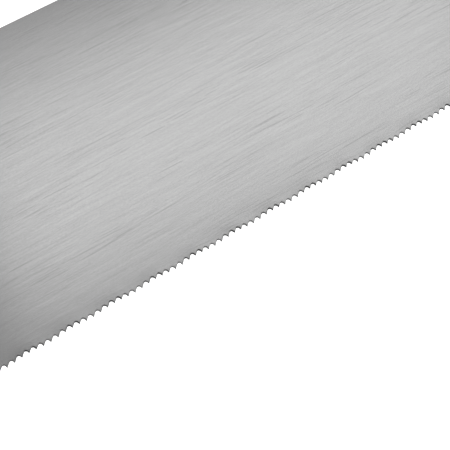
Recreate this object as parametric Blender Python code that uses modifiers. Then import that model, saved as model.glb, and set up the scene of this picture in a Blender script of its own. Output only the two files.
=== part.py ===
"""Hand saw: a parallel spineless steel plate with fine wave-set teeth, bolted into a closed beech handle.

The saw lies on its side. +X runs along the toothline from the toe to the handle, the teeth face -Y,
and +Z is up out of the plate's side. The origin is under the middle of the saw, on the surface that
it lies on. Everything is drawn in the saw's own frame first, with x = 0 at the toe, y = 0 at the tooth
tips and z = 0 in the middle of the plate, and one empty then carries it to the origin.
"""

import math

import bmesh
import bpy
from mathutils import Vector, geometry

MM = 0.001
CLEARANCE = 0.3 * MM  # gap left all round between pieces that fit each other

# Saw plate
PLATE_LENGTH = 402 * MM  # toe corner to heel corner, along the toothline
PLATE_WIDTH = 90 * MM  # tooth tips to back
PLATE_THICKNESS = 0.52 * MM
TOE_LEAN = math.radians(12)  # the toe's edge, back from square
TOE_BACK_RADIUS = 12 * MM
TOE_FRONT_RADIUS = 2 * MM
HEEL_LEAN = math.radians(15)  # the heel's edge, forward from square
TOE_LAND = 1 * MM  # plain stretch between the toe's corner and the first tooth
HEEL_LAND = 4 * MM  # plain stretch after the last one
CORNER_STEPS = 5  # straight pieces in a rounded corner

# Teeth, milled and then set in waves
INCH = 25.4 * MM
TEETH_PER_INCH = 14
TOOTH_PITCH = INCH / TEETH_PER_INCH
TOOTH_RELIEF = math.radians(41)  # the tooth's back, up from the toothline
TOOTH_RAKE = math.radians(4)  # the cutting face, leaning back from square
GULLET_RADIUS = 0.43 * MM
GULLET_STEPS = 3
TEETH_IN_A_WAVE = 6
WAVE_SET = 0.33 * MM  # sideways reach of the wave at the tips, each way
SET_BAND = 7 * MM  # strip of the plate that bends with the wave, from the tips
SET_ROWS = 2  # rows of facets in that strip, above the gullets

# Handle
HANDLE_THICKNESS = 22 * MM
CHEEK_REACH = 52 * MM  # furthest forward of the heel's edge
CHEEK_FOOT = 10 * MM  # lower edge of the cheeks, above the tooth tips
FOOT_ROUND = 13 * MM  # front lower corner of the cheeks
FOOT_END = 9 * MM  # where the lower edge starts to dip, forward of the heel's edge
NOSE_COVER = 7 * MM  # wood above the plate's back
NOSE_REACH = 21 * MM  # the nose, forward of the heel's edge
NOSE_ROUND = 5 * MM
NOSE_DEPTH = 17 * MM  # top of the nose to the hollow under it
WEB_BEHIND_KERF = 9 * MM  # wood between the plate's kerf and the hand hole
HOLE_ABOVE_TEETH = 46 * MM  # middle of the hand hole's front, above the tooth tips
HAND_HOLE_LENGTH = 88 * MM
HAND_HOLE_WIDTH = 33 * MM
HAND_HOLE_ROUND = 16 * MM  # its rounded ends
GRIP_LEAN = math.radians(20)  # the top of the grip leans towards the toe
GRIP_WIDTH = 29 * MM
PALM_SWELL = 2 * MM  # the grip's back swells out in the palm, and is as hollow above it
PALM_BELOW_MIDDLE = 10 * MM
WEB_BELOW_HOLE_END = 10 * MM  # hollow for the web of the thumb, below the hand hole's upper end
STRUT_WIDTH = 18 * MM  # wood over and under the hand hole
UPPER_HORN_REACH = 13 * MM  # behind the back of the grip
UPPER_HORN_RISE = 4.5 * MM  # above the strut
LOWER_HORN_REACH = 16 * MM
LOWER_HORN_DROP = 11 * MM
HORN_TIP = 6 * MM  # half the width of a horn, near its tip
GRIP_ROUND = 9 * MM  # round-overs of the edges
STRUT_ROUND = 7 * MM
HOLE_FRONT_ROUND = 5 * MM
HORN_ROUND = 3.5 * MM
CHEEK_ROUND = 2.5 * MM
SIDE_FLAT = 2 * MM  # least height of plain side between two round-overs
KNOT_STEPS = 6  # straight pieces in the outline between two knots
ROUND_STEPS = 3  # rings in each round-over

# Saw screws and their sleeve nuts
HEAD_RADIUS = 7 * MM
MEDALLION_RADIUS = 11 * MM
HEAD_THICKNESS = 2.4 * MM  # at its rim
HEAD_CROWN = 0.5 * MM
HEAD_SINK = 0.3 * MM  # how far the crown lies below the wood
RIM_CHAMFER = 0.4 * MM
SHANK_RADIUS = 2.4 * MM
SHANK_PAST_PLATE = 5 * MM  # the shank's end, below the plate's middle
NECK_SHOULDER = 0.2 * MM  # the square neck's flats, out from the shank; the neck stops the screw turning
NECK_ABOVE_SLEEVE = 0.6 * MM  # the neck's end, clear of the sleeve's mouth
SLEEVE_WALL = 0.9 * MM
SLEEVE_PAST_PLATE = 3 * MM  # the sleeve's mouth, above the plate
BORE_PAST_SHANK = 0.6 * MM
DRIVER_SLOT_WIDTH = 1.4 * MM
DRIVER_SLOT_DEPTH = 1.2 * MM
MEDALLION_RING_INSET = 3.5 * MM  # groove in the medallion's face, from its rim to the groove's middle
MEDALLION_RING_WIDTH = 1.2 * MM
MEDALLION_RING_DEPTH = 0.5 * MM
TURNED_STEPS = 20
WELD = 0.01 * MM  # points of a turned piece or of the band of teeth that are this close are one point

# Places of the screws on the cheeks: each one's share of the way from the lowest to the highest, and its
# share of the way from the heel's edge to the front of the cheeks
TOP_SCREW_DROP = 11 * MM  # the highest screw, below the plate's back
BOTTOM_SCREW_RISE = 11 * MM  # the lowest, above the cheeks' lower edge
SCREW_PATTERN = {
    "saw_screw_1": (1.00, 0.19),
    "medallion_screw": (0.58, 0.46),
    "saw_screw_2": (0.38, 0.175),
    "saw_screw_3": (0.20, 0.77),
    "saw_screw_4": (0.00, 0.385),
}

# Heights and radii that follow from these, measured from the plate's middle
CROWN_TOP = HANDLE_THICKNESS / 2 - HEAD_SINK
RIM_TOP = CROWN_TOP - HEAD_CROWN
SEAT = RIM_TOP - HEAD_THICKNESS
SLEEVE_MOUTH = PLATE_THICKNESS / 2 + SLEEVE_PAST_PLATE
BORE_RADIUS = SHANK_RADIUS + CLEARANCE
SLEEVE_RADIUS = BORE_RADIUS + SLEEVE_WALL
NECK_WIDTH = 2 * (SHANK_RADIUS + NECK_SHOULDER)
NECK_END = SLEEVE_MOUTH + NECK_ABOVE_SLEEVE
CUT_REACH = HANDLE_THICKNESS  # cutters stand well out of the wood


def clear_scene():
    for item in list(bpy.data.objects):
        bpy.data.objects.remove(item)


def new_collection(name):
    made = bpy.data.collections.new(name)
    bpy.context.scene.collection.children.link(made)
    return made


def make_material(name, colour, roughness, metallic):
    made = bpy.data.materials.new(name)
    made.use_nodes = True
    shader = made.node_tree.nodes["Principled BSDF"]
    shader.inputs["Base Color"].default_value = (*colour, 1)
    shader.inputs["Roughness"].default_value = roughness
    shader.inputs["Metallic"].default_value = metallic
    return made


def add_object(name, bm, collection, material=None):
    """A mesh object from a bmesh, shaded smooth where its faces meet gently."""
    mesh = bpy.data.meshes.new(name)
    bm.to_mesh(mesh)
    bm.free()
    mesh.shade_smooth()
    mesh.set_sharp_from_angle(angle=math.radians(32))
    made = bpy.data.objects.new(name, mesh)
    collection.objects.link(made)
    if material:
        mesh.materials.append(material)
    return made


def add_cutter(name, bm):
    made = add_object(name, bm, cutters)
    made.hide_render = True
    made.display_type = "WIRE"
    return made


def cut(piece, cutter, operation="DIFFERENCE"):
    modifier = piece.modifiers.new(cutter.name, "BOOLEAN")
    modifier.operation = operation
    modifier.object = cutter


def fillet(before, corner, after, radius, steps):
    """Points of an arc that rounds a corner of a flat outline."""
    to_before = (before - corner).normalized()
    to_after = (after - corner).normalized()
    half = to_before.angle(to_after) / 2
    centre = corner + (to_before + to_after).normalized() * (radius / math.sin(half))
    first = corner + to_before * (radius / math.tan(half)) - centre
    turn = first.angle_signed(corner + to_after * (radius / math.tan(half)) - centre)
    arc = []
    for step in range(steps + 1):
        angle = -turn * step / steps
        spoke = Vector((first.x * math.cos(angle) - first.y * math.sin(angle),
                        first.x * math.sin(angle) + first.y * math.cos(angle)))
        arc.append(centre + spoke)
    return arc


def heel_x(height):
    """Where the heel's slanting edge is, this far above the tooth tips."""
    return PLATE_LENGTH - height * math.tan(HEEL_LEAN)


def flat_prism(outline, thickness):
    """A flat outline drawn in the saw's frame, as a plate on both sides of z = 0."""
    bm = bmesh.new()
    face = bm.faces.new([bm.verts.new((p.x, p.y, -thickness / 2)) for p in outline])
    lifted = bmesh.ops.extrude_face_region(bm, geom=[face])["geom"]
    bmesh.ops.translate(bm, verts=[v for v in lifted if isinstance(v, bmesh.types.BMVert)],
                        vec=(0, 0, thickness))
    bmesh.ops.recalc_face_normals(bm, faces=bm.faces)
    return bm


def turn_profile(name, profile, place, collection, material=None):
    """A turned piece, standing on its axis at a place in the plate."""
    mesh = bpy.data.meshes.new(name)
    mesh.from_pydata([(radius, 0, height) for radius, height in profile],
                     [(i, i + 1) for i in range(len(profile) - 1)], [])
    made = bpy.data.objects.new(name, mesh)
    made.location = place.to_3d()
    collection.objects.link(made)
    if material:
        mesh.materials.append(material)
    turn = made.modifiers.new("turn", "SCREW")
    turn.steps = turn.render_steps = TURNED_STEPS
    turn.use_merge_vertices = True
    turn.merge_threshold = WELD
    turn.use_smooth_shade = True
    return made


def turned_cutter(name, profile, place):
    made = turn_profile(name, profile, place, cutters)
    made.hide_render = True
    made.display_type = "WIRE"
    return made


def square_cutter(name, width, top, bottom, place):
    bm = bmesh.new()
    bmesh.ops.create_cube(bm, size=1)
    bmesh.ops.scale(bm, verts=bm.verts, vec=(width, width, top - bottom))
    bmesh.ops.translate(bm, verts=bm.verts, vec=(place.x, place.y, (top + bottom) / 2))
    return add_cutter(name, bm)


# Saw plate


def gullet_after(tip_x):
    """The rounded gullet between the tooth at tip_x and the next one towards the heel."""
    slope = math.tan(TOOTH_RELIEF)
    depth = TOOTH_PITCH * slope / (1 + slope * math.tan(TOOTH_RAKE))
    corner = Vector((tip_x + depth / slope, depth))
    return fillet(Vector((tip_x, 0)), corner, Vector((tip_x + TOOTH_PITCH, 0)), GULLET_RADIUS, GULLET_STEPS)


def plate_shape():
    """The plate's outline with its teeth, counter-clockwise from the toe, and the places of its teeth."""
    root = max(p.y for p in gullet_after(0))
    toe_back = Vector((PLATE_WIDTH * math.tan(TOE_LEAN), PLATE_WIDTH))
    toe_front = Vector((root * math.tan(TOE_LEAN), root))
    heel_front = Vector((heel_x(root), root))
    heel_back = Vector((heel_x(PLATE_WIDTH), PLATE_WIDTH))

    outline = fillet(toe_back, toe_front, heel_front, TOE_FRONT_RADIUS, CORNER_STEPS)
    root_x = outline[-1].x + TOE_LAND
    outline.append(Vector((root_x, root)))
    first_tip = root_x + root * math.tan(TOOTH_RAKE)
    teeth = int((heel_front.x - HEEL_LAND - first_tip) / TOOTH_PITCH)
    gullet_places = []
    for number in range(teeth):
        tip_x = first_tip + number * TOOTH_PITCH
        outline.append(Vector((tip_x, 0)))
        if number < teeth - 1:
            arc = gullet_after(tip_x)
            outline.extend(arc)
            gullet_places.append(max(arc, key=lambda p: p.y).x)
    outline.append(Vector((outline[-1].x + root / math.tan(TOOTH_RELIEF), root)))
    outline += [heel_front, heel_back]
    outline += fillet(heel_back, toe_back, toe_front, TOE_BACK_RADIUS, CORNER_STEPS)
    return outline, root, first_tip, gullet_places


def divide_band(bm, root, gullet_places):
    """Divides the strip that bends into rows, and each row into one piece to a tooth."""
    for row in range(SET_ROWS):
        height = SET_BAND - (SET_BAND - root) * row / SET_ROWS
        bmesh.ops.bisect_plane(bm, geom=bm.verts[:] + bm.edges[:] + bm.faces[:], dist=WELD,
                               plane_co=(0, height, 0), plane_no=(0, 1, 0))
    for place in gullet_places:
        crossed = [f for f in bm.faces if f.calc_center_median().y < SET_BAND
                   and max(v.co.x for v in f.verts) > place + WELD]
        edges = {e for f in crossed for e in f.edges}
        verts = {v for f in crossed for v in f.verts}
        bmesh.ops.bisect_plane(bm, geom=[*crossed, *edges, *verts], dist=WELD,
                               plane_co=(place, 0, 0), plane_no=(1, 0, 0))
    bmesh.ops.triangulate(bm, faces=bm.faces[:])


def set_point(point, first_tip):
    """Where the set carries a point of the flat plate: sideways in waves that fade out above the teeth."""
    fade = max(0.0, 1 - point.y / SET_BAND)
    pace = 2 * math.pi / (TEETH_IN_A_WAVE * TOOTH_PITCH)
    wave = pace * (point.x - first_tip)
    middle = Vector((point.x, point.y, WAVE_SET * fade ** 2 * math.cos(wave)))
    slope_along = -WAVE_SET * fade ** 2 * pace * math.sin(wave)
    slope_up = -2 * WAVE_SET * fade / SET_BAND * math.cos(wave)
    return middle + point.z * Vector((-slope_along, -slope_up, 1)).normalized()


def make_plate(outline, root, first_tip, gullet_places, places):
    bm = bmesh.new()
    bm.faces.new([bm.verts.new((p.x, p.y, -PLATE_THICKNESS / 2)) for p in outline])
    divide_band(bm, root, gullet_places)
    lifted = bmesh.ops.extrude_face_region(bm, geom=bm.faces[:])["geom"]
    bmesh.ops.translate(bm, verts=[v for v in lifted if isinstance(v, bmesh.types.BMVert)],
                        vec=(0, 0, PLATE_THICKNESS))
    bmesh.ops.recalc_face_normals(bm, faces=bm.faces)
    for vert in bm.verts:
        vert.co = set_point(vert.co, first_tip)
    plate = add_object("saw_plate", bm, parts, steel)
    for name, place in places.items():
        radius = SLEEVE_RADIUS + CLEARANCE
        profile = [(0, CUT_REACH), (radius, CUT_REACH), (radius, -CUT_REACH), (0, -CUT_REACH)]
        cut(plate, turned_cutter(f"{name}_plate_hole", profile, place))


# Handle


def grip_point(behind, above):
    """A point given from the middle of the grip: behind its axis, and up along it."""
    back = Vector((math.cos(GRIP_LEAN), math.sin(GRIP_LEAN)))
    up = Vector((-math.sin(GRIP_LEAN), math.cos(GRIP_LEAN)))
    hole_front = Vector((heel_x(HOLE_ABOVE_TEETH) + WEB_BEHIND_KERF, HOLE_ABOVE_TEETH))
    return hole_front + back * (HAND_HOLE_WIDTH + GRIP_WIDTH / 2 + behind) + up * above


def cheek_point(ahead, above):
    """A point given from the heel's slanting edge: towards the toe, and above the tooth tips."""
    return Vector((heel_x(above) - ahead, above))


def smooth_outline(knots):
    """A closed smooth curve through knots of (point, round-over), as points with their round-overs."""
    curve = bpy.data.curves.new("outline", "CURVE")
    spline = curve.splines.new("BEZIER")
    spline.bezier_points.add(len(knots) - 1)
    spline.use_cyclic_u = True
    for bezier, (point, _) in zip(spline.bezier_points, knots):
        bezier.co = point.to_3d()
        bezier.handle_left_type = bezier.handle_right_type = "AUTO"
    carrier = bpy.data.objects.new("outline", curve)
    cutters.objects.link(carrier)
    bpy.context.view_layer.update()

    found = []
    for index, (_, round_over) in enumerate(knots):
        after = (index + 1) % len(knots)
        start, end = spline.bezier_points[index], spline.bezier_points[after]
        stretch = geometry.interpolate_bezier(start.co, start.handle_right, end.handle_left, end.co,
                                              KNOT_STEPS + 1)
        for step, point in enumerate(stretch[:-1]):
            share = step / KNOT_STEPS
            found.append((point.to_2d(), round_over + (knots[after][1] - round_over) * share))
    bpy.data.objects.remove(carrier)
    return found


def handle_outline():
    """The outside of the handle, counter-clockwise from the nose."""
    half = GRIP_WIDTH / 2
    hole_end = HAND_HOLE_LENGTH / 2
    crest = hole_end + STRUT_WIDTH
    hole_middle = -half - HAND_HOLE_WIDTH / 2
    nose_top = PLATE_WIDTH + NOSE_COVER
    upper_tip, lower_tip = half + UPPER_HORN_REACH, half + LOWER_HORN_REACH
    horn_top, horn_bottom = crest + UPPER_HORN_RISE, -crest - LOWER_HORN_DROP
    return smooth_outline([
        (cheek_point(NOSE_REACH - NOSE_ROUND, nose_top), CHEEK_ROUND),
        (cheek_point(NOSE_REACH, nose_top - NOSE_ROUND), CHEEK_ROUND),
        (cheek_point(NOSE_REACH, nose_top - NOSE_DEPTH), CHEEK_ROUND),
        (cheek_point(CHEEK_REACH, (CHEEK_FOOT + PLATE_WIDTH) / 2), CHEEK_ROUND),
        (cheek_point(CHEEK_REACH, CHEEK_FOOT + FOOT_ROUND), CHEEK_ROUND),
        (cheek_point(CHEEK_REACH - FOOT_ROUND, CHEEK_FOOT), CHEEK_ROUND),
        (cheek_point(FOOT_END, CHEEK_FOOT), CHEEK_ROUND),
        (grip_point(hole_middle, -crest), STRUT_ROUND),
        (grip_point(0, -crest - LOWER_HORN_DROP / 3), STRUT_ROUND),
        (grip_point(lower_tip - HORN_TIP, horn_bottom), HORN_ROUND),
        (grip_point(lower_tip, horn_bottom + HORN_TIP), HORN_ROUND),
        (grip_point(lower_tip - HORN_TIP / 2, horn_bottom + 2 * HORN_TIP), HORN_ROUND),
        (grip_point(half + PALM_SWELL, -hole_end), GRIP_ROUND),
        (grip_point(half + PALM_SWELL, -PALM_BELOW_MIDDLE), GRIP_ROUND),
        (grip_point(half - PALM_SWELL, hole_end - WEB_BELOW_HOLE_END), GRIP_ROUND),
        (grip_point(upper_tip - HORN_TIP, horn_top - 2 * HORN_TIP), HORN_ROUND),
        (grip_point(upper_tip, horn_top - HORN_TIP), HORN_ROUND),
        (grip_point(upper_tip - HORN_TIP, horn_top), HORN_ROUND),
        (grip_point(0, crest + UPPER_HORN_RISE / 2), STRUT_ROUND),
        (grip_point(hole_middle, crest), STRUT_ROUND),
    ])


def hand_hole_outline():
    """The opening for the hand, clockwise, so that its round-overs also run into the wood."""
    back = -GRIP_WIDTH / 2
    front = back - HAND_HOLE_WIDTH
    middle = (front + back) / 2
    end = HAND_HOLE_LENGTH / 2
    shoulder = end - HAND_HOLE_ROUND
    return smooth_outline([
        (grip_point(middle, end), STRUT_ROUND),
        (grip_point(back - PALM_SWELL, shoulder), GRIP_ROUND),
        (grip_point(back, 0), GRIP_ROUND),
        (grip_point(back - PALM_SWELL, -shoulder), GRIP_ROUND),
        (grip_point(middle, -end), STRUT_ROUND),
        (grip_point(front + 2 * PALM_SWELL, -shoulder), HOLE_FRONT_ROUND),
        (grip_point(front, 0), HOLE_FRONT_ROUND),
        (grip_point(front + 2 * PALM_SWELL, shoulder), HOLE_FRONT_ROUND),
    ])


def add_rounded_wall(bm, outline):
    """Rings of vertices round an outline, with rounded edges above and below, bridged into a wall."""
    points = [p for p, _ in outline]
    rings = []
    steps = range(ROUND_STEPS + 1)
    for side, step in [(-1, step) for step in reversed(steps)] + [(1, step) for step in steps]:
        angle = math.pi / 2 * step / ROUND_STEPS
        ring = []
        for index, (point, given) in enumerate(outline):
            round_over = min(given, (HANDLE_THICKNESS - SIDE_FLAT) / 2)
            along = points[(index + 1) % len(points)] - points[index - 1]
            inward = Vector((-along.y, along.x)).normalized()
            place = point + inward * round_over * (1 - math.cos(angle))
            height = HANDLE_THICKNESS / 2 - round_over * (1 - math.sin(angle))
            ring.append(bm.verts.new((place.x, place.y, side * height)))
        rings.append([bm.edges.new((ring[i - 1], ring[i])) for i in range(len(ring))])
    for lower, upper in zip(rings, rings[1:]):
        bmesh.ops.bridge_loops(bm, edges=lower + upper)
    return rings[0], rings[-1]


def make_handle(outline, hole, places):
    bm = bmesh.new()
    ends = [add_rounded_wall(bm, shape) for shape in (outline, hole)]
    for level in (0, 1):
        bmesh.ops.triangle_fill(bm, use_beauty=True, edges=[e for pair in ends for e in pair[level]])
    bmesh.ops.recalc_face_normals(bm, faces=bm.faces)
    handle = add_object("handle", bm, parts, beech)

    top = max(p.y for p, _ in outline) + STRUT_WIDTH
    bottom = min(p.y for p, _ in outline) - STRUT_WIDTH
    front = PLATE_LENGTH - 2 * CHEEK_REACH
    rear_gap = CLEARANCE / math.cos(HEEL_LEAN)
    kerf = [Vector((front, bottom)), Vector((heel_x(bottom) + rear_gap, bottom)),
            Vector((heel_x(top) + rear_gap, top)), Vector((front, top))]
    cut(handle, add_cutter("plate_kerf", flat_prism(kerf, PLATE_THICKNESS + 2 * CLEARANCE)))

    seat = SEAT - CLEARANCE
    sleeve = SLEEVE_RADIUS + CLEARANCE
    sleeve_top = SLEEVE_MOUTH + CLEARANCE
    for name, place in places.items():
        head, nut_head = head_radius(name) + CLEARANCE, HEAD_RADIUS + CLEARANCE
        cut(handle, turned_cutter(f"{name}_head_seat", [(0, CUT_REACH), (head, CUT_REACH), (head, seat),
                                                        (0, seat)], place))
        cut(handle, square_cutter(f"{name}_neck_seat", NECK_WIDTH + 2 * CLEARANCE, SEAT,
                                  SLEEVE_MOUTH, place))
        cut(handle, turned_cutter(f"{name}_nut_seat", [(0, sleeve_top), (sleeve, sleeve_top),
                                                       (sleeve, -seat), (nut_head, -seat),
                                                       (nut_head, -CUT_REACH), (0, -CUT_REACH)], place))


# Fasteners


def head_radius(name):
    return MEDALLION_RADIUS if name == "medallion_screw" else HEAD_RADIUS


def medallion_face():
    """The medallion's face from its middle outwards, with a plain ring turned in it."""
    fall = HEAD_CROWN / MEDALLION_RADIUS
    middle = MEDALLION_RADIUS - MEDALLION_RING_INSET
    inner, outer = middle - MEDALLION_RING_WIDTH / 2, middle + MEDALLION_RING_WIDTH / 2
    return [(0, CROWN_TOP), (inner, CROWN_TOP - fall * inner),
            (inner, CROWN_TOP - fall * inner - MEDALLION_RING_DEPTH),
            (outer, CROWN_TOP - fall * outer - MEDALLION_RING_DEPTH), (outer, CROWN_TOP - fall * outer)]


def make_screw(name, place):
    """A screw with a crowned head, a square neck and a shank that ends in the nut's sleeve."""
    radius = head_radius(name)
    plain_face = [(0, CROWN_TOP), (radius / 2, CROWN_TOP - HEAD_CROWN / 4)]
    profile = medallion_face() if name == "medallion_screw" else plain_face
    profile += [(radius - RIM_CHAMFER, RIM_TOP), (radius, RIM_TOP - RIM_CHAMFER), (radius, SEAT),
                (SHANK_RADIUS, SEAT), (SHANK_RADIUS, -SHANK_PAST_PLATE), (0, -SHANK_PAST_PLATE)]
    screw = turn_profile(name, profile, place, parts, brass)
    neck = square_cutter(f"{name}_neck", NECK_WIDTH, SEAT + HEAD_THICKNESS / 2, NECK_END, place)
    cut(screw, neck, "UNION")


def make_nut(name, place):
    """A slotted nut whose sleeve passes up through the plate and takes the screw's shank."""
    bore_end = -SHANK_PAST_PLATE - BORE_PAST_SHANK
    profile = [(0, bore_end), (BORE_RADIUS, bore_end), (BORE_RADIUS, SLEEVE_MOUTH),
               (SLEEVE_RADIUS, SLEEVE_MOUTH), (SLEEVE_RADIUS, -SEAT), (HEAD_RADIUS, -SEAT),
               (HEAD_RADIUS, -RIM_TOP + RIM_CHAMFER), (HEAD_RADIUS - RIM_CHAMFER, -RIM_TOP),
               (HEAD_RADIUS / 2, -CROWN_TOP + HEAD_CROWN / 4), (0, -CROWN_TOP)]
    nut = turn_profile(name, profile, place, parts, brass)

    slot = bmesh.new()
    bmesh.ops.create_cube(slot, size=1)
    bmesh.ops.scale(slot, verts=slot.verts, vec=(3 * HEAD_RADIUS, DRIVER_SLOT_WIDTH, 2 * DRIVER_SLOT_DEPTH))
    bmesh.ops.translate(slot, verts=slot.verts, vec=(place.x, place.y, -CROWN_TOP))
    cut(nut, add_cutter(f"{name}_slot", slot))


def main():
    lowest, highest = CHEEK_FOOT + BOTTOM_SCREW_RISE, PLATE_WIDTH - TOP_SCREW_DROP
    places = {name: cheek_point(ahead * CHEEK_REACH, lowest + up * (highest - lowest))
              for name, (up, ahead) in SCREW_PATTERN.items()}
    for name, place in places.items():
        make_screw(name, place)
        make_nut(name.replace("screw", "nut"), place)

    plate, root, first_tip, gullet_places = plate_shape()
    make_plate(plate, root, first_tip, gullet_places, places)
    outline = handle_outline()
    make_handle(outline, hand_hole_outline(), places)

    drawn = plate + [p for p, _ in outline]
    low = Vector((min(p.x for p in drawn), min(p.y for p in drawn)))
    high = Vector((max(p.x for p in drawn), max(p.y for p in drawn)))
    carrier = bpy.data.objects.new("hand_saw", None)
    parts.objects.link(carrier)
    carrier.location = (*(-(low + high) / 2), HANDLE_THICKNESS / 2)
    for piece in [*parts.objects, *cutters.objects]:
        if piece is not carrier:
            piece.parent = carrier


clear_scene()
parts = new_collection("hand_saw")
cutters = new_collection("cutters")
steel = make_material("brushed_steel", (0.60, 0.60, 0.60), 0.34, 1.0)
beech = make_material("varnished_beech", (0.52, 0.29, 0.13), 0.42, 0.0)
brass = make_material("polished_brass", (0.78, 0.58, 0.26), 0.28, 1.0)
main()
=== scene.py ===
import math

import bmesh
import bpy
from mathutils import Matrix, Vector
from mathutils.kdtree import KDTree


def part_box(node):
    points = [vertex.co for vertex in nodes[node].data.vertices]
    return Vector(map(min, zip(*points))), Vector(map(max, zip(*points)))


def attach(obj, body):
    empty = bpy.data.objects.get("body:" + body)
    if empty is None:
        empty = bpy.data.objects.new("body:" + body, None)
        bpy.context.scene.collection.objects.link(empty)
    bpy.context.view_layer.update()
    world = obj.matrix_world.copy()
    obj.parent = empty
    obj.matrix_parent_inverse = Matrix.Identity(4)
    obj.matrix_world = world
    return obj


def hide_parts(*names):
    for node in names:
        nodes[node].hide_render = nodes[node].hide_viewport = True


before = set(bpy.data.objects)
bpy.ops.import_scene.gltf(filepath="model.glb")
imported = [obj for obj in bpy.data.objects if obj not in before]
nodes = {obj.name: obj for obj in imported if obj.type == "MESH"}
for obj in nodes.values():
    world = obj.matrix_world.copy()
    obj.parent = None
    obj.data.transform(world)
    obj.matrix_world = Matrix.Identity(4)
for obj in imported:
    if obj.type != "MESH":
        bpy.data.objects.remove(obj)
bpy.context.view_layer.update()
scene = bpy.context.scene
scene.view_settings.view_transform = "Standard"
mm = 0.001
weld = 0.002 * mm  # points closer than this are one point
print("frame loaded with", len(nodes), "nodes")


def linear(hexValue):  # sRGB hex to linear RGBA
    parts = [int(hexValue[i:i + 2], 16) / 255 for i in (1, 3, 5)]
    return [p / 12.92 if p <= 0.04045 else ((p + 0.055) / 1.055) ** 2.4 for p in parts] + [1]


def addNode(tree, kind, inputs=None, **settings):
    node = tree.nodes.new("ShaderNode" + kind)
    for name, value in settings.items():
        setattr(node, name, value)
    for name, value in (inputs or {}).items():
        if isinstance(value, bpy.types.NodeSocket):
            tree.links.new(value, node.inputs[name])
        else:
            node.inputs[name].default_value = value
    return node


def startMaterial(name):
    material = bpy.data.materials.new(name)
    material.use_nodes = True
    return material, material.node_tree, material.node_tree.nodes["Principled BSDF"]


def mergedCopy(nodeName):  # the node's loose triangles, joined up
    bm = bmesh.new()
    bm.from_mesh(nodes[nodeName].data)
    bmesh.ops.remove_doubles(bm, verts=bm.verts, dist=weld)
    return bm


def addPiece(name, bm, nodeName, materials, sharpAngle):
    mesh = bpy.data.meshes.new(name)
    bm.to_mesh(mesh)
    bm.free()
    if mesh.has_custom_normals:  # carried over from the loose triangles
        mesh.attributes.remove(mesh.attributes["custom_normal"])
    mesh.shade_smooth()
    mesh.set_sharp_from_angle(angle=math.radians(sharpAngle))
    piece = bpy.data.objects.new(name, mesh)
    scene.collection.objects.link(piece)
    for material in materials:
        mesh.materials.append(material)
    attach(piece, "root")
    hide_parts(nodeName)
    return piece


# Saw plate: spring steel, belt-brushed along the toothline
plateFinish = {
    "light": "#d5d5d5", "dark": "#c0c0c0",
    "roughness": (0.21, 0.17),   # in the dark and in the light lines
    "anisotropy": 0.3,
    # width and length in mm, turn from the toothline in degrees, share; the last entry is the belt's grit
    # a belt leaves lines of a few hundredths of a mm, drawn here as coarse as they need to show
    "lines": [(0.40, 7.5, -2.0, 0.2), (0.45, 12, -0.6, 0.2), (0.40, 6.5, 0.8, 0.2), (0.55, 17, -0.4, 0.18),
              (1.6, 28, -0.5, 0.15), (0.30, 0.30, 0, 0.5)],
    "scratches": [(0.36, 12, -1.6, 0.4), (0.34, 9, 0.6, 0.36), (0.36, 17, -0.4, 0.32)],
    "scratchFrom": (0.67, 0.77),  # noise where a scratch starts and where it is whole
    "scratchedPatch": (9, 30, -0.5), "patchFrom": (0.4, 0.65),  # the same for the patches that hold them
    "lineDepth": 0.0015,         # mm
    # painted shade in the band where the set bends the plate towards the teeth
    "setBendShade": [(4.2, 3.9, 0.012), (3.2, 1.0, 0.06), (1.0, 0.0, 0.22)],  # mm above the tips, share darker
    # painted shade on the set's crests and painted light in its hollows, standing for how the bend takes the
    # light
    "paintedWaveShading": 0.1,            # share darker on the wave's crests, and lighter in its hollows
}
toothFinish = {
    "light": "#868686", "dark": "#353535", "edgeTint": "#4a4a4a", "roughness": 0.5,
    # painted light: walls pale low down, where they lean towards the white floor
    "low": (0.3, -0.6, 0.7),     # mm above the plate's middle where walls start and end paling, share
    # painted light: walls pale where they face the heel
    "heelSideLight": (0.0, 0.6, 0.6),     # the same by how far a wall faces the heel
    "millMark": 0.12, "millShare": 0.2,  # mm, share
}
plateShape = {
    "sharpAngle": 50,            # degrees
    "thickness": 0.52,           # mm
    "sideFrom": 0.7,             # height of the normal from which a face is a side and not a cut edge
    "setBand": 6.9,              # mm, up to just under the row where the bend ends
    "waveShine": 0.04,           # share of the bend's tilt that shows
}


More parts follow.
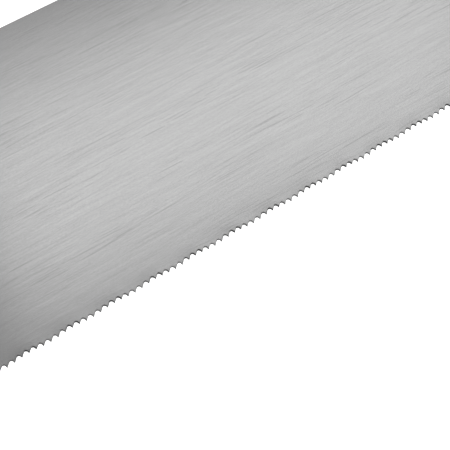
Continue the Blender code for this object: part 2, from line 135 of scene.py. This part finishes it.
def brushedSpringSteel():
    # fine lines catch the light in turn, so the sheet looks silky and streaked one way
    material, tree, shader = startMaterial("springSteelBrushed")
    place = addNode(tree, "TexCoord").outputs["Object"]

    def brushLines(width, length, turn):
        along = addNode(tree, "Mapping", {"Vector": place, "Rotation": (0, 0, math.radians(turn)),
                                          "Scale": (length * mm, width * mm, mm)}, vector_type="TEXTURE")
        noise = addNode(tree, "TexNoise", {"Vector": along.outputs[0], "Scale": 1, "Detail": 0})
        return noise.outputs["Fac"]

    total = 0.5
    for width, length, turn, share in plateFinish["lines"]:
        centred = addNode(tree, "Math", {0: brushLines(width, length, turn), 1: 0.5}, operation="SUBTRACT")
        total = addNode(tree, "Math", {0: centred.outputs[0], 1: share, 2: total},
                        operation="MULTIPLY_ADD").outputs[0]
    start, end = plateFinish["patchFrom"]
    patch = addNode(tree, "MapRange", {"Value": brushLines(*plateFinish["scratchedPatch"]),
                                       "From Min": start, "From Max": end})
    start, end = plateFinish["scratchFrom"]
    for width, length, turn, share in plateFinish["scratches"]:
        scratch = addNode(tree, "MapRange", {"Value": brushLines(width, length, turn),
                                             "From Min": start, "From Max": end, "To Max": -share})
        total = addNode(tree, "Math", {0: scratch.outputs[0], 1: patch.outputs[0], 2: total},
                        operation="MULTIPLY_ADD", use_clamp=True).outputs[0]
    colour = addNode(tree, "Mix", {"Factor": total, "A": linear(plateFinish["dark"]),
                                   "B": linear(plateFinish["light"])}, data_type="RGBA")

    # painted shade: the plate darkens in a band towards the teeth, where the set bends it
    axes = addNode(tree, "SeparateXYZ", {"Vector": place})
    shade = 1.0
    for start, end, share in plateFinish["setBendShade"]:
        tint = addNode(tree, "MapRange", {"Value": axes.outputs["Y"], "From Min": plateLow.y + start * mm,
                                          "From Max": plateLow.y + end * mm, "To Max": share})
        shade = addNode(tree, "Math", {0: shade, 1: tint.outputs[0]}, operation="SUBTRACT").outputs[0]
    # painted shade on the wave's crests and painted light in its hollows
    fromMiddle = addNode(tree, "Math", {0: axes.outputs["Z"], 1: plateMiddle}, operation="SUBTRACT")
    outward = addNode(tree, "Math", {0: fromMiddle.outputs[0]}, operation="ABSOLUTE")
    crest = (plateHigh.z - plateLow.z) / 2
    paintedWaveShading = addNode(tree, "MapRange", {
        "Value": outward.outputs[0], "From Min": plateShape["thickness"] * mm - crest, "From Max": crest,
        "To Min": -plateFinish["paintedWaveShading"], "To Max": plateFinish["paintedWaveShading"]}, clamp=False)
    shade = addNode(tree, "Math", {0: shade, 1: paintedWaveShading.outputs[0]}, operation="SUBTRACT").outputs[0]
    paintedShadeColour = addNode(tree, "Mix", {"Factor": shade, "A": (0, 0, 0, 1), "B": colour.outputs["Result"]},
                     data_type="RGBA")
    dull, bright = plateFinish["roughness"]
    rough = addNode(tree, "MapRange", {"Value": total, "To Min": dull, "To Max": bright})
    bump = addNode(tree, "Bump", {"Height": total, "Distance": plateFinish["lineDepth"] * mm})
    across = addNode(tree, "CombineXYZ", {"X": 0, "Y": 1, "Z": 0})
    tree.links.new(paintedShadeColour.outputs["Result"], shader.inputs["Base Color"])
    tree.links.new(rough.outputs[0], shader.inputs["Roughness"])
    tree.links.new(bump.outputs[0], shader.inputs["Normal"])
    tree.links.new(across.outputs[0], shader.inputs["Tangent"])
    shader.inputs["Metallic"].default_value = 1
    shader.inputs["Anisotropic"].default_value = plateFinish["anisotropy"]
    return material


def milledHardenedSteel():
    # dull dark grey with fine mill marks; painted light: the walls are paler low down, where they lean
    # towards the white floor, and where they face the heel
    material, tree, shader = startMaterial("springSteelMilled")
    place = addNode(tree, "TexCoord").outputs["Object"]
    marks = addNode(tree, "Mapping", {"Vector": place, "Scale": (toothFinish["millMark"] * mm,
                                      toothFinish["millMark"] * mm, mm)}, vector_type="TEXTURE")
    noise = addNode(tree, "TexNoise", {"Vector": marks.outputs[0], "Scale": 1, "Detail": 1})
    tone = addNode(tree, "MapRange", {"Value": noise.outputs["Fac"], "To Min": -toothFinish["millShare"],
                                      "To Max": toothFinish["millShare"]})
    height = addNode(tree, "SeparateXYZ", {"Vector": place}).outputs["Z"]
    fromMiddle = addNode(tree, "Math", {0: height, 1: plateMiddle}, operation="SUBTRACT")
    inMm = addNode(tree, "Math", {0: fromMiddle.outputs[0], 1: mm}, operation="DIVIDE")
    facing = addNode(tree, "SeparateXYZ", {"Vector": addNode(tree, "NewGeometry").outputs["True Normal"]})
    # painted light: paler low down and towards the heel
    for value, paintedLight in ((inMm.outputs[0], "low"), (facing.outputs["X"], "heelSideLight")):
        start, end, share = toothFinish[paintedLight]
        pale = addNode(tree, "MapRange", {"Value": value, "From Min": start, "From Max": end,
                                          "To Max": share})
        tone = addNode(tree, "Math", {0: tone.outputs[0], 1: pale.outputs[0]}, operation="ADD")
    tone.use_clamp = True
    colour = addNode(tree, "Mix", {"Factor": tone.outputs[0], "A": linear(toothFinish["dark"]),
                                   "B": linear(toothFinish["light"])}, data_type="RGBA")
    tree.links.new(colour.outputs["Result"], shader.inputs["Base Color"])
    shader.inputs["Metallic"].default_value = 1
    shader.inputs["Roughness"].default_value = toothFinish["roughness"]
    shader.inputs["Specular Tint"].default_value = linear(toothFinish["edgeTint"])
    return material


def calmWave(mesh):  # the set's tilt shows only softly on the brushed sides, and ends with its band
    normals = [Vector(corner.vector) for corner in mesh.corner_normals]
    bandTop = plateLow.y + plateShape["setBand"] * mm
    for polygon in mesh.polygons:
        if polygon.material_index == 0:
            flat = Vector((0, 0, math.copysign(1, polygon.normal.z)))
            for loop in polygon.loop_indices:
                height = mesh.vertices[mesh.loops[loop].vertex_index].co.y
                share = plateShape["waveShine"] if height < bandTop else 0
                normals[loop] = flat.lerp(normals[loop], share).normalized()
    mesh.normals_split_custom_set(normals)


def makePlate():
    bm = mergedCopy("saw_plate")
    for face in bm.faces:
        face.material_index = 0 if abs(face.normal.z) > plateShape["sideFrom"] else 1
    plate = addPiece("sawPlate", bm, "saw_plate", [brushedSpringSteel(), milledHardenedSteel()],
                     plateShape["sharpAngle"])
    calmWave(plate.data)
    print("plate:", len(plate.data.polygons), "faces")


plateLow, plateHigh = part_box("saw_plate")
plateMiddle = (plateLow.z + plateHigh.z) / 2
makePlate()


# Handle: beech, shaped by hand and varnished
beechFinish = {
    "pale": "#c1976a", "heart": "#a6764a", "ring": "#7f5230", "fleck": "#6b4226", "hand": "#744826",
    "pith": (0, 34, -58),          # mm, the tree's middle from the handle's middle
    "grainTurn": 8,                # degrees, along the cheeks and into the horns
    "ringSpacing": 3.4,            # mm
    "ringWander": 2.6,             # rings, how far they stray from circles
    "ringSharpness": 4,            # late wood darkens towards the end of each year
    "ringShare": 0.62, "fleckShare": 0.5, "handShare": 0.42,
    "cloudSize": (90, 16, 16),     # mm, along the grain and across it
    "fibreSize": (16, 0.5, 0.5),
    "fleckSize": (3.6, 0.5, 0.5),  # real flecks are about half as wide, drawn coarser to show
    "fleckFrom": (0.58, 0.72),     # noise where a fleck starts and where it is whole
    "grip": (30, 0, 0), "gripReach": (16, 58),  # mm, where the hand has darkened the wood
    "roughness": (0.36, 0.52), "varnish": 0.5, "varnishRoughness": 0.14,
    "poreDepth": 0.03,             # mm
}
handleShape = {
    "sharpAngle": 40,              # degrees
    "leastShift": 0.003,           # mm, less than this counts as straight or level
    "flat": 0.9999,                # height of a normal from which a face is level
    "upright": 0.5,                # and under which it is a wall
    "kerf": 1.12,                  # mm
    "brokenEdge": 0.25, "edgeSteps": 2,   # mm
}


def varnishedBeech():
    # brown wood with soft year rings and short dark flecks, darker at the grip, under a thin glossy varnish
    material, tree, shader = startMaterial("beechVarnished")
    low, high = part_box("handle")
    middle = (low + high) / 2
    pith = middle + Vector(beechFinish["pith"]) * mm
    place = addNode(tree, "TexCoord").outputs["Object"]

    def inGrain(size):  # along the grain in X, counted in the given sizes
        return addNode(tree, "Mapping", {
            "Vector": place, "Location": pith, "Rotation": (0, 0, math.radians(beechFinish["grainTurn"])),
            "Scale": [s * mm for s in size]}, vector_type="TEXTURE").outputs[0]

    def grainStreaks(size, detail):
        noise = addNode(tree, "TexNoise", {"Vector": inGrain(size), "Scale": 1, "Detail": detail})
        return noise.outputs["Fac"]

    cloud = grainStreaks(beechFinish["cloudSize"], 2)
    fibre = grainStreaks(beechFinish["fibreSize"], 1)
    apart = addNode(tree, "SeparateXYZ", {"Vector": inGrain([beechFinish["ringSpacing"]] * 3)})
    across = addNode(tree, "CombineXYZ", {"Y": apart.outputs["Y"], "Z": apart.outputs["Z"]})
    radius = addNode(tree, "VectorMath", {0: across.outputs[0]}, operation="LENGTH")
    wander = addNode(tree, "Math", {0: cloud, 1: beechFinish["ringWander"], 2: radius.outputs["Value"]},
                     operation="MULTIPLY_ADD")
    year = addNode(tree, "Math", {0: wander.outputs[0], 1: 1}, operation="PINGPONG")
    late = addNode(tree, "Math", {0: year.outputs[0], 1: beechFinish["ringSharpness"]}, operation="POWER")
    start, end = beechFinish["fleckFrom"]
    fleck = addNode(tree, "MapRange", {"Value": grainStreaks(beechFinish["fleckSize"], 0),
                                       "From Min": start, "From Max": end})
    fromGrip = addNode(tree, "VectorMath", {0: place, 1: middle + Vector(beechFinish["grip"]) * mm},
                       operation="DISTANCE")
    near, far = beechFinish["gripReach"]
    hand = addNode(tree, "MapRange", {"Value": fromGrip.outputs["Value"], "From Min": far * mm,
                                      "From Max": near * mm}, interpolation_type="SMOOTHSTEP")
    handled = addNode(tree, "Math", {0: hand.outputs[0], 1: cloud}, operation="MULTIPLY")

    colour = addNode(tree, "Mix", {"Factor": cloud, "A": linear(beechFinish["heart"]),
                                   "B": linear(beechFinish["pale"])}, data_type="RGBA")
    for mask, tint in ((late, "ring"), (fleck, "fleck"), (handled, "hand")):
        amount = addNode(tree, "Math", {0: mask.outputs[0], 1: beechFinish[tint + "Share"]},
                         operation="MULTIPLY")
        colour = addNode(tree, "Mix", {"Factor": amount.outputs[0], "A": colour.outputs["Result"],
                                       "B": linear(beechFinish[tint])}, data_type="RGBA")
    smooth, dull = beechFinish["roughness"]
    rough = addNode(tree, "MapRange", {"Value": fibre, "To Min": smooth, "To Max": dull})
    height = addNode(tree, "Math", {0: fibre, 1: fleck.outputs[0]}, operation="SUBTRACT")
    bump = addNode(tree, "Bump", {"Height": height.outputs[0], "Distance": beechFinish["poreDepth"] * mm})
    tree.links.new(colour.outputs["Result"], shader.inputs["Base Color"])
    tree.links.new(rough.outputs[0], shader.inputs["Roughness"])
    tree.links.new(bump.outputs[0], shader.inputs["Normal"])
    shader.inputs["Coat Weight"].default_value = beechFinish["varnish"]
    shader.inputs["Coat Roughness"].default_value = beechFinish["varnishRoughness"]
    return material


def lieOfSurface(vert, face):  # the surface's direction at a point, on the face's own side of a sharp edge
    total = Vector()
    for loop in vert.link_loops:
        if loop.face.normal.angle(face.normal) < math.radians(handleShape["sharpAngle"]):
            total += loop.face.normal * loop.calc_angle()
    return total.normalized()


def roundOff(bm):  # every curved edge gets one more point, set out onto its curve
    middles = []
    for edge in bm.edges:
        start, end = edge.verts
        along = end.co - start.co
        sharp = edge.calc_face_angle() > math.radians(handleShape["sharpAngle"])
        shift = Vector()  # to the middle of a cubic curve that leaves both ends along the surface
        for face in edge.link_faces if sharp else edge.link_faces[:1]:
            for vert, way in ((start, along), (end, -along)):
                lie = lieOfSurface(vert, face)
                shift -= lie * way.dot(lie) / 8
        if any(abs(face.normal.z) > handleShape["flat"] for face in edge.link_faces):
            shift.z = 0
        if shift.length > handleShape["leastShift"] * mm:
            middles.append((edge, (start.co + end.co) / 2, shift))
    nearest = KDTree(len(middles))
    for index, (_, middle, _) in enumerate(middles):
        nearest.insert(middle, index)
    nearest.balance()
    bmesh.ops.subdivide_edges(bm, edges=[edge for edge, _, _ in middles], cuts=1, use_grid_fill=True)
    for vert in bm.verts:
        _, index, gap = nearest.find(vert.co)
        if gap < handleShape["leastShift"] * mm:
            vert.co += middles[index][2]
    bmesh.ops.triangulate(bm, faces=[face for face in bm.faces if len(face.verts) > 3])
    bm.normal_update()


def refillFlats(bm):  # well-shaped triangles on the cheeks and in the kerf, ready for a bevel
    low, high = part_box("handle")
    kerf = handleShape["kerf"] / 2 * mm
    for level in (low.z, plateMiddle - kerf, plateMiddle + kerf, high.z):
        flats = {face for face in bm.faces
                 if all(abs(vert.co.z - level) < handleShape["leastShift"] * mm for vert in face.verts)}
        border = {edge for face in flats for edge in face.edges if not flats.issuperset(edge.link_faces)}
        bmesh.ops.delete(bm, geom=list(flats), context="FACES")
        bmesh.ops.triangle_fill(bm, edges=list(border), use_beauty=True)
    bmesh.ops.recalc_face_normals(bm, faces=bm.faces)


def breakEdges(bm):  # the sharp edges that show, round the screws' seats and along the kerf
    skin = {max(bm.faces, key=lambda face: face.calc_center_median().x)}
    fresh = list(skin)
    while fresh:
        for edge in fresh.pop().edges:
            if edge.calc_face_angle() < math.radians(handleShape["sharpAngle"]):
                found = [face for face in edge.link_faces if face not in skin]
                skin.update(found)
                fresh += found
    edges = []
    for edge in bm.edges:
        steep, level = sorted(abs(face.normal.z) for face in edge.link_faces)
        square = level > handleShape["flat"] and steep < handleShape["upright"]
        if square and edge.is_convex and len(skin.intersection(edge.link_faces)) == 1:
            edges.append(edge)
    bmesh.ops.bevel(bm, geom=edges, offset=handleShape["brokenEdge"] * mm, affect="EDGES",
                    segments=handleShape["edgeSteps"], profile=0.5, material=-1)


def flattenCheeks(mesh):  # the flat sides look flat right up to their rounded edges
    low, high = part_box("handle")
    normals = [Vector(corner.vector) for corner in mesh.corner_normals]
    for polygon in mesh.polygons:
        for side, level in ((-1, low.z), (1, high.z)):
            onLevel = [abs(mesh.vertices[v].co.z - level) < handleShape["leastShift"] * mm
                       for v in polygon.vertices]
            if all(onLevel) or side * polygon.normal.z > math.cos(math.radians(handleShape["sharpAngle"])):
                for loop, touches in zip(polygon.loop_indices, onLevel):
                    if touches:
                        normals[loop] = Vector((0, 0, side))
    mesh.normals_split_custom_set(normals)


def makeHandle():
    bm = mergedCopy("handle")
    roundOff(bm)
    refillFlats(bm)
    breakEdges(bm)
    handle = addPiece("sawHandle", bm, "handle", [varnishedBeech()], handleShape["sharpAngle"])
    flattenCheeks(handle.data)
    print("handle:", len(handle.data.polygons), "faces")


makeHandle()


# Saw screws and sleeve nuts: brass, turned on a lathe
brassFinish = {
    "bright": "#f3c77e", "dull": "#a2743f", "roughness": (0.34, 0.2),  # in the dull and in the bright
    "turnMark": 0.45,               # mm, lathe marks are finer, drawn coarser to show
    "turnShare": 0.5, "turnDepth": 0.012,  # share, mm
    "tarnishPatch": 5,              # mm
    "tarnishFrom": (0.35, 0.6),     # noise in the patches and between them
    "tarnish": (0.7, 1.0),          # share of the polish left in the patches and between them
    "recess": (1.0, 0.4),           # mm below the crown, where the polish starts and where it is whole
}
fastenerShape = {                   # mm
    "headThickness": 2.4, "crown": 0.5, "crownSteps": 8, "rim": 0.4, "rimSteps": 3,
    "ringInset": 3.5, "ringWidth": 1.2, "ringDepth": 0.5,  # groove in the medallion
    "shankRadius": 2.4, "neckHalf": 2.6, "neckAboveSleeve": 0.6,
    "sleeveWall": 0.9, "bore": 2.7, "borePastShank": 0.6,
    "slotWidth": 1.4, "slotDepth": 1.2,
    "turnSteps": 64, "sharpAngle": 30,  # steps, degrees
}


def turnedBrass():
    # warm yellow with fine rings from the lathe, brown in the recesses that polishing doesn't reach
    material, tree, shader = startMaterial("brassTurned")
    place = addNode(tree, "TexCoord").outputs["Object"]
    height = addNode(tree, "SeparateXYZ", {"Vector": place}).outputs["Z"]
    fromAxis = addNode(tree, "Attribute", attribute_name="fromAxis").outputs["Fac"]
    lathe = addNode(tree, "CombineXYZ", {"X": fromAxis, "Y": height})
    marks = addNode(tree, "TexNoise", {
        "Vector": lathe.outputs[0], "Scale": 1 / (brassFinish["turnMark"] * mm), "Detail": 1}).outputs["Fac"]
    patches = addNode(tree, "TexNoise", {
        "Vector": place, "Scale": 1 / (brassFinish["tarnishPatch"] * mm), "Detail": 3}).outputs["Fac"]
    start, end = brassFinish["tarnishFrom"]
    tarnished, bare = brassFinish["tarnish"]
    clean = addNode(tree, "MapRange", {"Value": patches, "From Min": start, "From Max": end,
                                       "To Min": tarnished, "To Max": bare})
    outward = addNode(tree, "Math", {0: height, 1: plateMiddle}, operation="SUBTRACT")
    reach = addNode(tree, "Math", {0: outward.outputs[0]}, operation="ABSOLUTE")
    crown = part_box("medallion_screw")[1].z - plateMiddle
    deep, shallow = brassFinish["recess"]
    polish = addNode(tree, "MapRange", {"Value": reach.outputs[0], "From Min": crown - deep * mm,
                                        "From Max": crown - shallow * mm})
    base = addNode(tree, "Math", {0: clean.outputs[0], 1: polish.outputs[0]}, operation="MULTIPLY")
    centred = addNode(tree, "Math", {0: marks, 1: 0.5}, operation="SUBTRACT")
    tone = addNode(tree, "Math", {0: centred.outputs[0], 1: brassFinish["turnShare"], 2: base.outputs[0]},
                   operation="MULTIPLY_ADD", use_clamp=True)
    colour = addNode(tree, "Mix", {"Factor": tone.outputs[0], "A": linear(brassFinish["dull"]),
                                   "B": linear(brassFinish["bright"])}, data_type="RGBA")
    dull, bright = brassFinish["roughness"]
    rough = addNode(tree, "MapRange", {"Value": tone.outputs[0], "To Min": dull, "To Max": bright})
    bump = addNode(tree, "Bump", {"Height": marks, "Distance": brassFinish["turnDepth"] * mm})
    tree.links.new(colour.outputs["Result"], shader.inputs["Base Color"])
    tree.links.new(rough.outputs[0], shader.inputs["Roughness"])
    tree.links.new(bump.outputs[0], shader.inputs["Normal"])
    shader.inputs["Metallic"].default_value = 1
    return material


def headFace(radius, top, ringed):  # the crowned face from its middle out to the rim, as (radius, height)
    shape = fastenerShape
    flat = radius - shape["rim"]

    def crownAt(r):
        return r, top - shape["crown"] * (r / flat) ** 2

    face = [crownAt(flat * step / shape["crownSteps"]) for step in range(shape["crownSteps"] + 1)]
    if ringed:
        inner = radius - shape["ringInset"] - shape["ringWidth"] / 2
        outer = inner + shape["ringWidth"]
        groove = [crownAt(inner), (inner, crownAt(inner)[1] - shape["ringDepth"]),
                  (outer, crownAt(outer)[1] - shape["ringDepth"]), crownAt(outer)]
        face = [p for p in face if p[0] < inner] + groove + [p for p in face if p[0] > outer]
    for step in range(1, shape["rimSteps"] + 1):
        angle = math.pi / 2 * step / shape["rimSteps"]
        face.append((flat + shape["rim"] * math.sin(angle),
                     top - shape["crown"] - shape["rim"] * (1 - math.cos(angle))))
    return face


def turnedBody(profile, centre):  # spun from (radius, height) in mm, heights from the plate's middle
    bm = bmesh.new()
    points = [bm.verts.new((r * mm, 0, h * mm)) for r, h in profile]
    line = [bm.edges.new(pair) for pair in zip(points, points[1:])]
    bmesh.ops.spin(bm, geom=points + line, axis=(0, 0, 1), angle=2 * math.pi, use_merge=True,
                   steps=fastenerShape["turnSteps"])
    bmesh.ops.remove_doubles(bm, verts=bm.verts, dist=weld)
    bmesh.ops.recalc_face_normals(bm, faces=bm.faces)
    for vert in bm.verts:  # the ring of the neck's half width becomes a square
        if abs(vert.co.xy.length - fastenerShape["neckHalf"] * mm) < weld:
            vert.co.xy *= fastenerShape["neckHalf"] * mm / max(abs(vert.co.x), abs(vert.co.y))
    bmesh.ops.translate(bm, verts=bm.verts, vec=(centre.x, centre.y, plateMiddle))
    return bm


def slotted(bm, centre, radius, top):  # a straight slot across the nut's face, for the driver
    bar = bmesh.new()  # longer than the head is wide, and half of its height is out of the brass
    bmesh.ops.create_cube(bar, size=1)
    bmesh.ops.scale(bar, verts=bar.verts, vec=Vector((3 * radius, fastenerShape["slotWidth"],
                                                      2 * fastenerShape["slotDepth"])) * mm)
    bmesh.ops.translate(bar, verts=bar.verts, vec=(centre.x, centre.y, plateMiddle - top * mm))
    blanks = []
    for name, made in (("nutBlank", bm), ("slotBar", bar)):
        mesh = bpy.data.meshes.new(name)
        made.to_mesh(mesh)
        made.free()
        blanks.append(bpy.data.objects.new(name, mesh))
        scene.collection.objects.link(blanks[-1])
    cut = blanks[0].modifiers.new("slot", "BOOLEAN")
    cut.object = blanks[1]
    nut = bmesh.new()
    nut.from_object(blanks[0], bpy.context.evaluated_depsgraph_get())
    for blank in blanks:
        bpy.data.objects.remove(blank)
    return nut


def screwProfile(low, high, radius, sleeveMouth, ringed):
    shape = fastenerShape
    seat = high - shape["crown"] - shape["headThickness"]
    neck, shank = shape["neckHalf"], shape["shankRadius"]
    neckEnd = sleeveMouth + shape["neckAboveSleeve"]
    return headFace(radius, high, ringed) + [
        (radius, seat), (neck, seat), (neck, neckEnd), (shank, neckEnd),
        (shank, low + shape["rim"]), (shank - shape["rim"], low), (0, low)]


def nutProfile(low, high, radius, shankEnd):
    shape = fastenerShape
    seat = low + shape["crown"] + shape["headThickness"]
    boreEnd = shankEnd - shape["borePastShank"]
    sleeve = shape["bore"] + shape["sleeveWall"]
    face = [(r, -h) for r, h in headFace(radius, -low, False)]
    return face + [(radius, seat), (sleeve, seat), (sleeve, high), (shape["bore"], high),
                   (shape["bore"], boreEnd), (0, boreEnd)]


def makeFasteners():
    brass = turnedBrass()
    for screwName in [name for name in nodes if "screw" in name]:
        nutName = screwName.replace("screw", "nut")
        boxes = {name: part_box(name) for name in (screwName, nutName)}
        ends = {name: [(corner.z - plateMiddle) / mm for corner in box] for name, box in boxes.items()}
        for name, (low, high) in boxes.items():
            centre, radius = (low + high) / 2, (high.x - low.x) / 2 / mm
            if name == screwName:
                profile = screwProfile(*ends[name], radius, ends[nutName][1], "medallion" in name)
                bm = turnedBody(profile, centre)
            else:
                profile = nutProfile(*ends[name], radius, ends[screwName][0])
                bm = slotted(turnedBody(profile, centre), centre, radius, -ends[name][0])
            piece = addPiece(name + "Turned", bm, name, [brass], fastenerShape["sharpAngle"])
            fromAxis = piece.data.attributes.new("fromAxis", "FLOAT", "POINT")
            for vert in piece.data.vertices:
                fromAxis.data[vert.index].value = (vert.co.xy - centre.xy).length
            weigh = piece.modifiers.new("normals", "WEIGHTED_NORMAL")  # flats stay flat up to their rims
            weigh.keep_sharp = True
        print(screwName, "and its nut turned")


makeFasteners()


# Floor, light and camera
floorFinish = {"radius": 6.0, "sides": 64, "colour": "#f4f4f4", "roughness": 0.6, "glow": 0.8}  # radius in m
softLights = [  # aims in mm from the first tooth seen, distances and sizes in mm, angles in degrees
    {"name": "stripBehind", "aim": (60, 40, 0), "azimuth": 48.5, "elevation": 42.1, "distance": 984,
     "size": (206, 467), "roll": -66.0, "radiance": 0.816},
    {"name": "keyInFront", "aim": (150, 40, 0), "azimuth": 235, "elevation": 58, "distance": 1500,
     "size": (900, 900), "roll": 0, "radiance": 5.0},
]
skyGlow = {
    "zenith": 0.395, "horizon": 0.55, "between": (0.2, 0.4),  # heights as sines
    "fill": 0.45, "dimmest": (62, 43), "around": (30, 62),    # degrees, a dimmer patch behind the plate
}
view = {
    "tooth": 81,                              # this tooth stands at the left edge of the picture
    "tipHeight": 0.3, "tipGap": 0.5,          # mm, a tip's points lie this low, and tips this far apart
    "fromTooth": (-108.02, -202.98, 278.54),  # mm, the camera from that tooth
    "tilt": 43.671, "roll": -0.199, "turn": -38.913,  # degrees
    "lens": 140, "sensor": 36, "nearest": 10,  # mm
}


def toothPlace(number):  # middle of a tooth's tip, found in the plate
    lowest = plateLow.y + view["tipHeight"] * mm
    tips = []
    for x in sorted(vert.co.x for vert in nodes["saw_plate"].data.vertices if vert.co.y < lowest):
        if not tips or x - tips[-1][-1] > view["tipGap"] * mm:
            tips.append([])
        tips[-1].append(x)
    tip = tips[number]
    return Vector(((tip[0] + tip[-1]) / 2, plateLow.y, plateMiddle))


def makeFloor():
    bm = bmesh.new()
    bmesh.ops.create_circle(bm, cap_ends=True, segments=floorFinish["sides"], radius=floorFinish["radius"])
    mesh = bpy.data.meshes.new("floor")
    bm.to_mesh(mesh)
    bm.free()
    floor = bpy.data.objects.new("floor", mesh)
    scene.collection.objects.link(floor)
    # white sheet over a light table, pale and even with no shadow on it
    material, _, shader = startMaterial("acrylicLitFromBelow")
    shader.inputs["Base Color"].default_value = linear(floorFinish["colour"])
    shader.inputs["Roughness"].default_value = floorFinish["roughness"]
    shader.inputs["Emission Color"].default_value = (1, 1, 1, 1)
    shader.inputs["Emission Strength"].default_value = floorFinish["glow"]
    mesh.materials.append(material)


def direction(azimuth, elevation):  # degrees, from +X towards +Y, and up
    azimuth, elevation = math.radians(azimuth), math.radians(elevation)
    return Vector((math.cos(elevation) * math.cos(azimuth), math.cos(elevation) * math.sin(azimuth),
                   math.sin(elevation)))


def makeLights(origin):
    for soft in softLights:
        away = direction(soft["azimuth"], soft["elevation"])
        side = Vector((0, 0, 1)).cross(away).normalized()
        light = bpy.data.lights.new(soft["name"], "AREA")
        light.shape = "RECTANGLE"
        light.size, light.size_y = (s * mm for s in soft["size"])
        light.energy = soft["radiance"] * math.pi * light.size * light.size_y
        lamp = bpy.data.objects.new(soft["name"], light)
        scene.collection.objects.link(lamp)
        turn = Matrix((side, away.cross(side), away)).transposed().to_4x4()
        turn @= Matrix.Rotation(math.radians(soft["roll"]), 4, "Z")
        centre = origin + Vector(soft["aim"]) * mm + away * soft["distance"] * mm
        lamp.matrix_world = Matrix.Translation(centre) @ turn


def makeSky():
    world = bpy.data.worlds.new("studio")
    scene.world = world
    world.use_nodes = True
    tree = world.node_tree
    background = tree.nodes["Background"]
    way = addNode(tree, "TexCoord").outputs["Generated"]
    height = addNode(tree, "SeparateXYZ", {"Vector": way}).outputs["Z"]
    start, end = skyGlow["between"]
    ring = addNode(tree, "MapRange", {
        "Value": height, "From Min": start, "From Max": end, "To Min": skyGlow["horizon"], "To Max": 0},
        interpolation_type="SMOOTHSTEP")
    towards = addNode(tree, "VectorMath", {0: way, 1: direction(*skyGlow["dimmest"])},
                      operation="DOT_PRODUCT")
    start, end = (math.cos(math.radians(angle)) for angle in skyGlow["around"])
    fill = addNode(tree, "MapRange", {
        "Value": towards.outputs["Value"], "From Min": start, "From Max": end, "To Max": skyGlow["fill"]},
        interpolation_type="SMOOTHSTEP")
    sides = addNode(tree, "Math", {0: ring.outputs[0], 1: fill.outputs[0]}, operation="ADD")
    glow = addNode(tree, "Math", {0: height, 1: skyGlow["zenith"], 2: sides.outputs[0]},
                   operation="MULTIPLY_ADD", use_clamp=True)
    seen = addNode(tree, "LightPath").outputs["Is Camera Ray"]
    strength = addNode(tree, "Mix", {"Factor": seen, "A": glow.outputs[0], "B": 1.0}, data_type="FLOAT")
    background.inputs["Color"].default_value = (1, 1, 1, 1)
    tree.links.new(strength.outputs["Result"], background.inputs["Strength"])


def makeCamera(origin):
    data = bpy.data.cameras.new("camera")
    data.lens = view["lens"]
    data.sensor_width = view["sensor"]
    data.clip_start = view["nearest"] * mm
    camera = bpy.data.objects.new("camera", data)
    scene.collection.objects.link(camera)
    camera.location = origin + Vector(view["fromTooth"]) * mm
    camera.rotation_euler = [math.radians(view[k]) for k in ("tilt", "roll", "turn")]
    scene.camera = camera


firstSeen = toothPlace(view["tooth"])
makeFloor()
makeLights(firstSeen)
makeSky()
makeCamera(firstSeen)
print("stage set, camera from tooth at", [round(c / mm, 2) for c in firstSeen])
